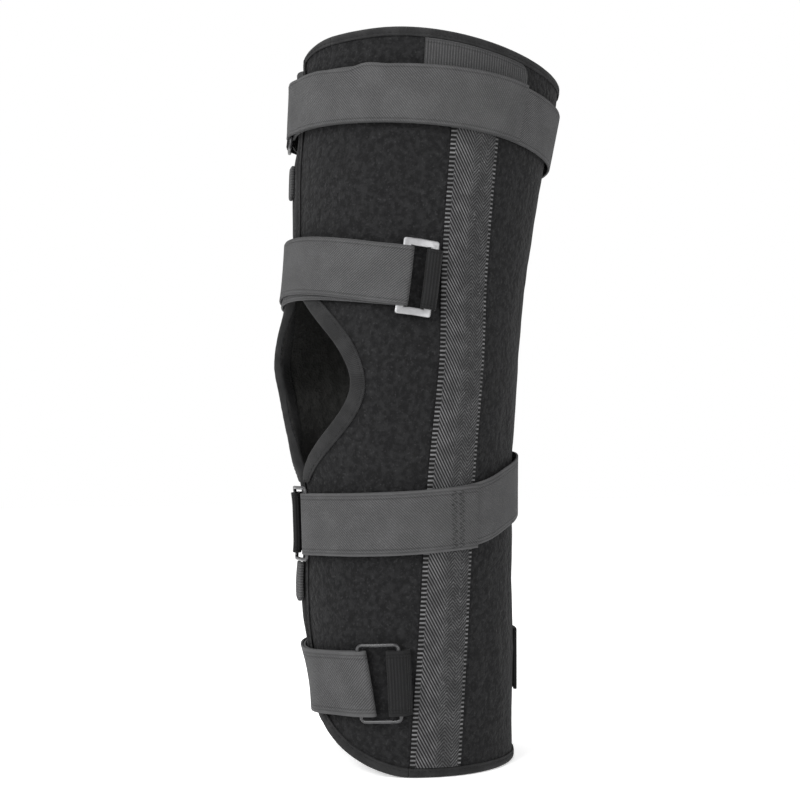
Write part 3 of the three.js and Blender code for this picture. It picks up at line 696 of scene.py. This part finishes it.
def makePanel(name, node, columns, rows, locate):
    held = []

    def place(u, v):
        turn, height, fromFront = locate(u, v)
        share = heldShare(turn, height, fromFront)
        held.append(share)
        press = panels["press"] * underStrap(turn, height)
        wave = 0.55 * ripple(turn, height, 34, 2.0) + 0.25 * ripple(turn, height, 13, 9.0)
        level = followTop(turn, height)
        spot = (level * millimetre, turn * legRadius(height) * millimetre)
        return legPoint(turn, level, -press - 0.1 + wave * (1 - share) - 0.2 * (1 - share)), spot

    bm = clothGrid(columns, rows, place)
    faceOutwards(bm)
    piece = addPiece(name, bm, [shellCloth, liningCloth], "shell", [node])
    swellPanel(piece, held)
    foam = piece.modifiers.new("foam", "SOLIDIFY")
    foam.thickness = leg["wall"] * millimetre
    foam.offset = -1
    foam.material_offset = 1
    foam.material_offset_rim = 0
    return piece


makePanel("lateralPanelCloth", "lateral_panel", panels["columns"], len(panelRows[1]) - 1, panelPlace(1))
makePanel("medialPanelCloth", "medial_panel", panels["columns"], len(panelRows[-1]) - 1, panelPlace(-1))
makePanel("backPanelCloth", "back_panel", panels["backColumns"], panels["backRows"], backPlace)
print("panels made")


# Bindings, folded round the edges and sewn through

binding = {
    "thick": 0.8, "frontLip": 11.0, "straightLip": 5.0, "hemLip": 6.5, "round": 3.0,
    "across": 22, "hemSteps": 200,
    "stitchIn": 2.0, "groove": 0.42, "grooveWidth": 0.8, "tuck": 0.25, "tuckRun": 1.2, "pucker": 0.16,
}


def bindingSection(share, lip):  # distance into the panel and offset, outside to inside
    outside = sewing["gap"] + sewing["binding"] / 2
    inside = -leg["wall"] - outside
    middle, half = (outside + inside) / 2, (outside - inside) / 2
    flat = lip - binding["round"]
    bend = math.pi * (half + binding["round"]) / 2
    along = share * (2 * flat + bend)
    side = 1 if along < (2 * flat + bend) / 2 else -1
    run = along if side == 1 else 2 * flat + bend - along
    if run <= flat:
        into = lip - run
        away = (into - lip + binding["stitchIn"]) / binding["grooveWidth"]
        dip = binding["groove"] * math.exp(-away ** 2)
        tuck = binding["tuck"] * smoothstep(into, lip - binding["tuckRun"], lip)
        return into, middle + side * (half - dip - tuck)
    angle = (run - flat) / (bend / 2) * math.pi / 2
    into = sewing["binding"] / 2 + (binding["round"] - sewing["binding"] / 2) * (1 - math.sin(angle) ** 0.85)
    return into, middle + side * half * max(0.0, math.cos(angle)) ** 0.7


def stitchRow(bm, points, length=2.9, gap=1.1, thick=0.42):
    run = 0.0
    marks = [0.0]
    for first, second in zip(points, points[1:]):
        run += (second - first).length / millimetre
        marks.append(run)
    count = int(run // (length + gap))

    def at(distance):
        i = 0
        low, high = 0, len(marks) - 1
        while high - low > 1:
            i = (low + high) // 2
            low, high = (i, high) if marks[i] <= distance else (low, i)
        share = (distance - marks[low]) / max(marks[high] - marks[low], 1e-9)
        return points[low].lerp(points[high], share)

    for k in range(count):
        start = at(k * (length + gap) + gap / 2)
        end = at(k * (length + gap) + gap / 2 + length)
        turn = (end - start).to_track_quat("Z", "Y").to_matrix().to_4x4()
        size = Matrix.Diagonal((thick / 2 * millimetre, thick / 2 * millimetre, (end - start).length / 2, 1))
        bmesh.ops.create_uvsphere(
            bm, u_segments=6, v_segments=4, radius=1.0,
            matrix=Matrix.Translation((start + end) / 2) @ turn @ size,
        )


def makeBinding(name, node, locate, steps, lip):
    def place(u, v):
        width = lip(v)
        into, offset = bindingSection(u, width)
        puckered = binding["pucker"] * noise.noise(Vector((v * steps / 3.5, u * 3, len(name))))
        position, along = locate(v, into, offset + puckered)
        return position, (along * millimetre, u * (2 * width + 4) * millimetre)

    bm = clothGrid(binding["across"], steps, place)
    faceOutwards(bm)
    addPiece(name, bm, [bindingCloth], "binding", [node], thickness=binding["thick"])
    bm = bmesh.new()
    for face in (1, -1):
        offset = face * (leg["wall"] / 2 + sewing["gap"] + sewing["binding"] - 0.12) - leg["wall"] / 2
        shares = [i / steps for i in range(steps + 1)]
        stitchRow(bm, [locate(share, lip(share) - binding["stitchIn"], offset)[0] for share in shares])
    addPiece(name.replace("Tape", "Stitches"), bm, [sewingThread], "binding")


def makeFrontBinding(side, name, node):
    line, frames = edgeLines[side], edgeFrames[side]
    last = len(line) - 1
    runs = [0.0]
    for first, second in zip(line, line[1:]):
        runs.append(runs[-1] + math.dist(first, second))

    def locate(v, into, offset):
        place = v * last
        arc, height = between(line, place)
        inArc, inHeight = between(frames, place)
        i = min(int(place), last - 1)
        turn = side * (arc + inArc * into) / legRadius(height)
        return legPoint(turn, height + inHeight * into, offset), lerp(runs[i], runs[i + 1], place - i)

    def lip(v):
        place = v * last
        height = between(line, place)[1]
        away = abs(height - opening["level"] * leg["height"])
        wide = 1 - smoothstep(away, opening["height"] / 2 - 8, opening["height"] / 2)
        if side == 1:
            wide = max(wide, 1 - smoothstep(height, corners[1]["lowHeight"] - 8, corners[1]["lowHeight"] + 4))
        fromEnd = min(place / cornerSteps["low"], (last - place) / cornerSteps["top"], 1)
        return lerp(binding["hemLip"], lerp(binding["straightLip"], binding["frontLip"], wide), fromEnd)

    makeBinding(name, node, locate, last * 2, lip)


def makeHem(name, node, arc, level, upwards):
    start, inner = ((leg["slit"] / 2 + corners[side][arc] + 0.2) / legRadius(level) for side in (1, -1))
    end = math.tau - inner

    def locate(v, into, offset):
        turn = lerp(start, end, v)
        height = followTop(turn, level + upwards * into)
        return legPoint(turn, height, offset), turn * legRadius(level)

    makeBinding(name, node, locate, binding["hemSteps"], lambda v: binding["hemLip"])


makeFrontBinding(1, "lateralBindingTape", "lateral_front_binding")
makeFrontBinding(-1, "medialBindingTape", "medial_front_binding")
makeHem("topBindingTape", "top_binding", "topArc", leg["height"], -1)
makeHem("hemBindingTape", "bottom_binding", "lowArc", 0.0, 1)
print("bindings made")


# Wide tapes over the stays

stayTape = {"width": 34.0, "crown": 0.3, "columns": 20, "rows": 200, "keeper": 36.0}
belowTopHem = leg["height"] - binding["hemLip"] - sewing["gap"]


def makeStayTape(side, name, node, top):
    bottom = binding["hemLip"] + sewing["gap"]

    def locate(across, height, offset):
        turn = side * (stayTurn(height) + across * stayTape["width"] / legRadius(height))
        return legPoint(turn, followTop(turn, height), offset)

    def place(u, v):
        across, height = u - 0.5, lerp(bottom, top, v)
        crown = stayTape["crown"] * (1 - (2 * across) ** 4) + 0.07 * ripple(across, height, 9, 4.0)
        rest = sewing["gap"] + sewing["tape"] / 2
        spot = (height * millimetre, across * stayTape["width"] * millimetre)
        return locate(across, height, rest + crown), spot

    addPatch(name, node, tapeCloth, "stay_tape", (stayTape["columns"], stayTape["rows"]), place,
             sewing["tape"], 0.3)


makeStayTape(1, "lateralStayWeave", "lateral_stay_tape", belowTopHem - stayTape["keeper"] - sewing["gap"])
makeStayTape(-1, "medialStayWeave", "medial_stay_tape", belowTopHem)
print("stay tapes made")


# Straps, rings and the short webbing that holds the rings

def ringSizes(strap):
    kind = rings[strap["ring"]]
    radius = legRadius(strap["height"] * leg["height"])
    centre = underCentre + webbing["thickness"] / 2 + sewing["gap"] + kind["thick"] / 2
    return kind, radius, centre, (kind["width"] - kind["bar"]) / 2 / radius


def chapeTurns(strap):  # where the chape meets the ring's bar, and where it is sewn down
    _, radius, _, barShare = ringSizes(strap)
    side = strap["side"]
    barTurn = math.radians(strap["ringAngle"]) + side * barShare
    if side == -1:
        return barTurn, barTurn - webbing["chapeRun"] / radius
    level = strap["height"] * leg["height"]
    seam = min(stayTurn(level + end * strap["width"]) for end in (-0.5, 0.5))
    return barTurn, seam - (stayTape["width"] / 2 + sewing["gap"]) / radius


def foldStations(turn, centre, bend, reach, direction, radius, steps=18):
    stations = []
    for i in range(steps + 1):
        angle = (i / steps - 0.5) * math.pi
        along = reach - bend + bend * math.cos(angle)
        stations.append((turn + direction * along / radius, centre + bend * math.sin(angle)))
    return stations


def makeBand(name, node, stations, width, thick, material, slotName, strap=None, seed=0.0):
    runs = [0.0]
    for (t0, o0, h0), (t1, o1, _) in zip(stations, stations[1:]):
        runs.append(runs[-1] + math.hypot((t1 - t0) * legRadius(h0), o1 - o0))

    def place(u, v):
        index = v * (len(stations) - 1)
        turn, offset, height = between(stations, index)
        i = min(int(index), len(stations) - 2)
        across = u - 0.5
        degrees = math.degrees(turn)
        isOuter = offset > underCentre + 1.2
        if strap is not None:
            fromFold = (turn - math.radians(strap["ringAngle"])) * legRadius(height)
            turn += strap["skew"] * across / legRadius(height) * math.exp(-(fromFold / 22) ** 2)
            upper = smoothstep(across, -0.1, 0.5)
            if isOuter:
                offset += upper * smoothColumn(strap["flare"], 1, degrees)
                height += upper * smoothColumn(strap["kink"], 1, degrees)
            offset += 0.12 * noise.noise(Vector((turn * 6, across * 2, seed + isOuter)))
        run = lerp(runs[i], runs[i + 1], index - i)
        frayed = 0.15 * noise.noise(Vector((run / 6, seed, 3.0)))
        return (legPoint(turn, height + across * (width + frayed), offset),
                (run * millimetre, across * width * millimetre))

    bm = clothGrid(14, len(stations) - 1, place)
    addPiece(name, bm, [material], slotName, [node], thickness=thick, edge=0.35)


def makeStrap(strap, seed):
    kind, radius, centre, barShare = ringSizes(strap)
    direction = strap["side"]
    barTurn = math.radians(strap["ringAngle"]) - direction * barShare
    sewnTurn, tailTurn = math.radians(strap["sewn"]), math.radians(strap["tail"])
    bend = (kind["thick"] + webbing["thickness"]) / 2 + sewing["gap"]
    reach = strap["fold"] - webbing["thickness"] / 2
    fold = foldStations(barTurn, centre, bend, reach, direction, radius)
    stations = []

    def add(turn, offset, route):
        stations.append((turn, offset, routeHeight(strap, route, turn)))

    steps = int(abs(fold[0][0] - sewnTurn) * radius / 3.2)
    for i in range(steps):
        turn = lerp(sewnTurn, fold[0][0], i / steps)
        run = abs(turn - sewnTurn) * radius
        lift = smoothstep(run, webbing["sewnRun"], webbing["sewnRun"] + webbing["settleRun"])
        add(turn, lerp(sewnCentre, underCentre, lift), "under")
    for turn, offset in fold:
        add(turn, offset, "under")
    hold = barTurn - direction * (kind["bar"] / 2 + rings["barClear"]) / radius
    add(hold, fold[-1][1], "outer")
    steps = int(abs(tailTurn - hold) * radius / 3.2)
    for i in range(1, steps + 1):
        turn = lerp(hold, tailTurn, i / steps)
        settled = smoothstep(abs(turn - hold) * radius, 0, webbing["settleRun"])
        add(turn, lerp(fold[-1][1], outerCentre, settled), "outer")
    makeBand(strap["name"] + "_webbing", strap["name"] + "_strap", stations,
             strap["width"], webbing["thickness"], greyWebbing, "grey_webbing", strap, seed)


def makeChape(strap, seed):
    kind, radius, centre, _ = ringSizes(strap)
    side = strap["side"]
    barTurn, sewnTurn = chapeTurns(strap)
    bend = (kind["thick"] + webbing["chape"]) / 2 + sewing["gap"]
    fold = foldStations(barTurn, centre, bend, strap["fold"] - webbing["chape"] / 2, -side, radius)
    low = webbing["chapeRest"] + webbing["chape"] / 2
    high = low + webbing["chape"] + sewing["gap"]
    stations = []

    def add(turn, offset):
        stations.append((turn, offset, routeHeight(strap, "under", turn) - strap["drop"]))

    for i in range(8):
        add(lerp(sewnTurn, fold[0][0], i / 8), lerp(low, fold[0][1], smoothstep(i / 8, 0, 1)))
    for turn, offset in fold:
        add(turn, offset)
    hold = barTurn + side * (kind["bar"] / 2 + rings["barClear"]) / radius
    add(hold, fold[-1][1])
    for i in range(1, 9):
        add(lerp(hold, sewnTurn, i / 8), lerp(fold[-1][1], high, smoothstep(i / 8, 0, 1)))
    makeBand(strap["name"] + "_holder", strap["name"] + "_chape", stations,
             strap["width"], webbing["chape"], blackWebbing, "black_webbing", None, seed)


def makeRing(strap):
    kind, radius, centre, _ = ringSizes(strap)
    halfWidth = (kind["width"] - kind["bar"]) / 2
    halfHeight = (strap["width"] + 2 * kind["play"] + kind["bar"]) / 2
    bend = kind["corner"]
    loop = []
    for k, (alongSide, upSide) in enumerate(((1, 1), (-1, 1), (-1, -1), (1, -1))):
        for i in range(9):
            angle = (k + i / 8) * math.pi / 2
            outAlong, outUp = math.cos(angle), math.sin(angle)
            if strap["ring"] == "flat":  # sharp inside corners, slightly rounded outside
                inAlong, inUp = (side * (half - kind["bar"] / 2) for side, half in
                                 ((alongSide, halfWidth), (upSide, halfHeight)))
                farAlong = inAlong + alongSide * (kind["bar"] - bend) + bend * outAlong
                farUp = inUp + upSide * (kind["bar"] - bend) + bend * outUp
                loop.append(((inAlong + farAlong) / 2, (inUp + farUp) / 2,
                             (farAlong - inAlong) / kind["bar"], (farUp - inUp) / kind["bar"]))
                continue
            loop.append((alongSide * (halfWidth - bend) + bend * outAlong,
                         upSide * (halfHeight - bend) + bend * outUp, outAlong, outUp))
        if alongSide == upSide:  # a point halfway along each short side keeps it bent with the leg
            loop.append((0.0, upSide * halfHeight, 0.0, float(upSide)))
        else:
            loop.append((alongSide * halfWidth, 0.0, float(alongSide), 0.0))
    loop.append(loop[0])
    power = 0.45 if strap["ring"] == "flat" else 1.0

    def signedPower(value):
        return math.copysign(abs(value) ** power, value)

    def place(u, v):
        along, up, outAlong, outUp = between(loop, v * (len(loop) - 1))
        angle = u * math.tau
        across = kind["bar"] / 2 * signedPower(math.cos(angle))
        lift = kind["thick"] / 2 * signedPower(math.sin(angle))
        along, up = along + outAlong * across, up + outUp * across
        turn = math.radians(strap["ringAngle"]) + along / radius
        height = routeHeight(strap, "under", turn) - strap["drop"] + up
        return legPoint(turn, height, centre + lift), (v * 0.14, u * 0.01)

    bm = clothGrid(20, len(loop) - 1, place, True, True)
    # the flat ring gets plain nickel, the wire rings the painted dark reflection
    look, slotName = (brightMetal, "bright_ring") if strap["ring"] == "flat" else (darkReflectionMetal, "black_ring")
    addPiece(strap["name"] + "_link", bm, [look], slotName, [strap["name"] + "_ring"])


for seed, strap in enumerate(straps):
    makeStrap(strap, float(seed))
    makeChape(strap, seed + 10.0)
    makeRing(strap)
print("straps and rings made")


# Small sewn pieces

keeper = {"start": 66, "end": 113, "height": 36.0, "thick": 0.9}
anchor = {"start": 154, "end": 190, "thick": 2.6}
pullTab = {"width": 13.0, "thick": 2.4}
pullTabs = [
    {"piece": "upperPullTabWebbing", "node": "upper_pull_tab",
     "angle": -10, "top": 410.5, "length": 23.5, "rest": 0.45},
    {"piece": "lowerPullTabWebbing", "node": "lower_pull_tab",
     "angle": -4, "top": 137.3, "length": 27.0, "rest": 2.15},
]


def makeKeeper():
    def place(u, v):
        turn = math.radians(lerp(keeper["start"], keeper["end"], u))
        fromEnd = (1 - u) * math.radians(keeper["end"] - keeper["start"]) * 93
        cut = 7 - math.sqrt(max(0.0, 49 - max(0.0, 7 - fromEnd) ** 2))
        height = lerp(belowTopHem - keeper["height"], belowTopHem - cut, v)
        level = followTop(turn, height)
        wave = 0.25 * ripple(turn, height, 12, 5.0)
        return (legPoint(turn, level, sewing["gap"] + keeper["thick"] / 2 + max(0.0, wave)),
                (turn * 0.093, (height - belowTopHem + keeper["height"] / 2) * millimetre))

    addPatch("thighKeeperWebbing", "thigh_keeper_tab", patchWebbing, "grey_webbing",
             (60, 14), place, keeper["thick"], 0.3)


def makeAnchor():
    strap = straps[-1]
    level = routeHeight(strap, "under", math.radians(strap["sewn"]))

    def place(u, v):
        turn = math.radians(lerp(anchor["start"], anchor["end"], u))
        across = v - 0.5
        return (legPoint(turn, level + across * strap["width"], sewing["gap"] + anchor["thick"] / 2),
                (turn * 0.07, across * strap["width"] * millimetre))

    addPatch("calfAnchorWebbing", "lower_calf_anchor", blackWebbing, "black_webbing",
             (30, 14), place, anchor["thick"], 0.6)


def makePullTab(tab):
    width, thick = pullTab["width"], pullTab["thick"]

    def place(u, v):
        across = u - 0.5
        tip = tab["length"] - width * 0.25 * (2 * across) ** 2
        height = tab["top"] - (1 - v) * tip
        turn = math.radians(tab["angle"]) + across * width / legRadius(tab["top"])
        spot = (height * millimetre, across * width * millimetre)
        return legPoint(turn, height, tab["rest"] + thick / 2), spot

    addPatch(tab["piece"], tab["node"], patchWebbing, "grey_webbing", (12, 20), place, thick, 0.7)


makeKeeper()
makeAnchor()
for tab in pullTabs:
    makePullTab(tab)
print("small pieces made")


# Visible sewing on the straps

def makeStrapSewing():
    bm = bmesh.new()
    for strap in straps:  # a sewn box where each strap ends behind the leg
        inward = -1 if strap["sewn"] > 0 else 1
        radius = legRadius(strap["height"] * leg["height"])
        first = math.radians(strap["sewn"]) + inward * 2.5 / radius
        second = first + inward * (webbing["sewnRun"] - 3) / radius
        offset = sewnCentre + webbing["thickness"] / 2 + 0.12

        def spot(turn, across):
            height = routeHeight(strap, "under", turn) + across * strap["width"]
            return legPoint(turn, height, offset)

        for turn in (first, second):
            stitchRow(bm, [spot(turn, lerp(-0.43, 0.43, i / 10)) for i in range(11)])
        for across in (-0.43, 0.43):
            stitchRow(bm, [spot(lerp(first, second, i / 4), across) for i in range(5)])
    calf = straps[2]
    radius = legRadius(calf["height"] * leg["height"])
    for column in (0, 1):  # the zigzags near the end of the upper calf strap
        points = []
        for i in range(25):
            shift = (2.2 if i % 2 else -2.2) + (column - 0.5) * 5
            turn = math.radians(93) + shift / radius
            height = routeHeight(calf, "outer", turn) + lerp(-0.46, 0.46, i / 24) * calf["width"]
            points.append(legPoint(turn, height, outerCentre + webbing["thickness"] / 2 + 0.15))
        stitchRow(bm, points, 2.4, 0.5, 0.45)
    addPiece("strapSewing", bm, [sewingThread], "grey_webbing")


def makeChapeSewing():
    bm = bmesh.new()
    for strap in straps:
        radius = legRadius(strap["height"] * leg["height"])
        side = strap["side"]
        sewnTurn = chapeTurns(strap)[1]
        high = sewing["gap"] + webbing["chapeRest"] + webbing["chape"] * 2 + 0.15
        for run in (2.0, 4.0) if side == 1 else (2.0, 12.0):
            turn = sewnTurn - side * run / radius
            points = []
            for i in range(11):
                height = routeHeight(strap, "under", turn) - strap["drop"]
                height += lerp(-0.43, 0.43, i / 10) * strap["width"]
                points.append(legPoint(turn, height, high + 0.35))
            stitchRow(bm, points)
    addPiece("holderSewing", bm, [sewingThread], "black_webbing")


makeStrapSewing()
makeChapeSewing()
print("sewing made")


# Floor, light and camera

studio = {
    "floor": 4.0, "floorGlow": 0.39, "floorPale": (0.93, 0.93, 0.93), "floorPaler": (0.96, 0.96, 0.96),
    "skyLight": 0.65, "keyPower": 26.0, "fillPower": 10.0, "topPower": 14.0,
    "azimuth": 68.0, "pitch": 1.84, "lens": 63.0, "distance": 0.985, "eye": (0, -0.0093, 0.217),
}


def makeFloor():
    bm = bmesh.new()
    bmesh.ops.create_grid(bm, x_segments=1, y_segments=1, size=studio["floor"])
    mesh = bpy.data.meshes.new("studioFloor")
    bm.to_mesh(mesh)
    bm.free()
    floor = bpy.data.objects.new("studioFloor", mesh)
    scene.collection.objects.link(floor)
    material, tree, shader, place, _ = newMaterial("palePaper", 0.9)
    grain = tree.nodes.new("ShaderNodeTexNoise")
    grain.inputs["Scale"].default_value = 3.0
    tree.links.new(place, grain.inputs["Vector"])
    colour = mixColour(tree, grain.outputs[0], studio["floorPale"], studio["floorPaler"])
    tree.links.new(colour, shader.inputs["Base Color"])
    shader.inputs["Emission Color"].default_value = (1, 1, 1, 1)
    shader.inputs["Emission Strength"].default_value = studio["floorGlow"]
    mesh.materials.append(material)


def addLight(name, place, aim, size, power):
    data = bpy.data.lights.new(name, "AREA")
    data.energy = power
    data.size = size
    lamp = bpy.data.objects.new(name, data)
    lamp.location = place
    lamp.rotation_euler = (Vector(aim) - Vector(place)).to_track_quat("-Z", "Y").to_euler()
    scene.collection.objects.link(lamp)


def makeStudio():
    world = bpy.data.worlds.new("studioWorld")
    world.use_nodes = True
    world.node_tree.nodes["Background"].inputs["Color"].default_value = (1, 1, 1, 1)
    tree = world.node_tree  # white behind the part, softer as light
    seen = tree.nodes.new("ShaderNodeLightPath").outputs["Is Camera Ray"]
    strength = mathNode(tree, "MAXIMUM", seen, studio["skyLight"])
    tree.links.new(strength, tree.nodes["Background"].inputs["Strength"])
    scene.world = world
    azimuth = math.radians(studio["azimuth"])
    towards = Vector((math.sin(azimuth), -math.cos(azimuth), 0))
    right = Vector((math.cos(azimuth), math.sin(azimuth), 0))
    aim = (0, 0, 0.25)
    addLight("keyLight", towards * 1.2 - right * 1.0 + Vector((0, 0, 1.0)), aim, 0.9, studio["keyPower"])
    addLight("fillLight", towards * 1.4 + right * 0.7 + Vector((0, 0, 0.5)), aim, 1.0, studio["fillPower"])
    addLight("topLight", right * -0.3 + Vector((0, 0, 1.6)), aim, 1.0, studio["topPower"])
    pitch = math.radians(studio["pitch"])
    camera = bpy.data.objects.new("photoCamera", bpy.data.cameras.new("photoCamera"))
    camera.data.lens = studio["lens"]
    camera.data.clip_start = 0.05
    camera.location = legAxis + Vector(studio["eye"]) + towards * studio["distance"]
    view = -towards * math.cos(pitch) + Vector((0, 0, math.sin(pitch)))
    camera.rotation_euler = view.to_track_quat("-Z", "Y").to_euler()
    scene.collection.objects.link(camera)
    scene.camera = camera


makeFloor()
makeStudio()
print("studio made")
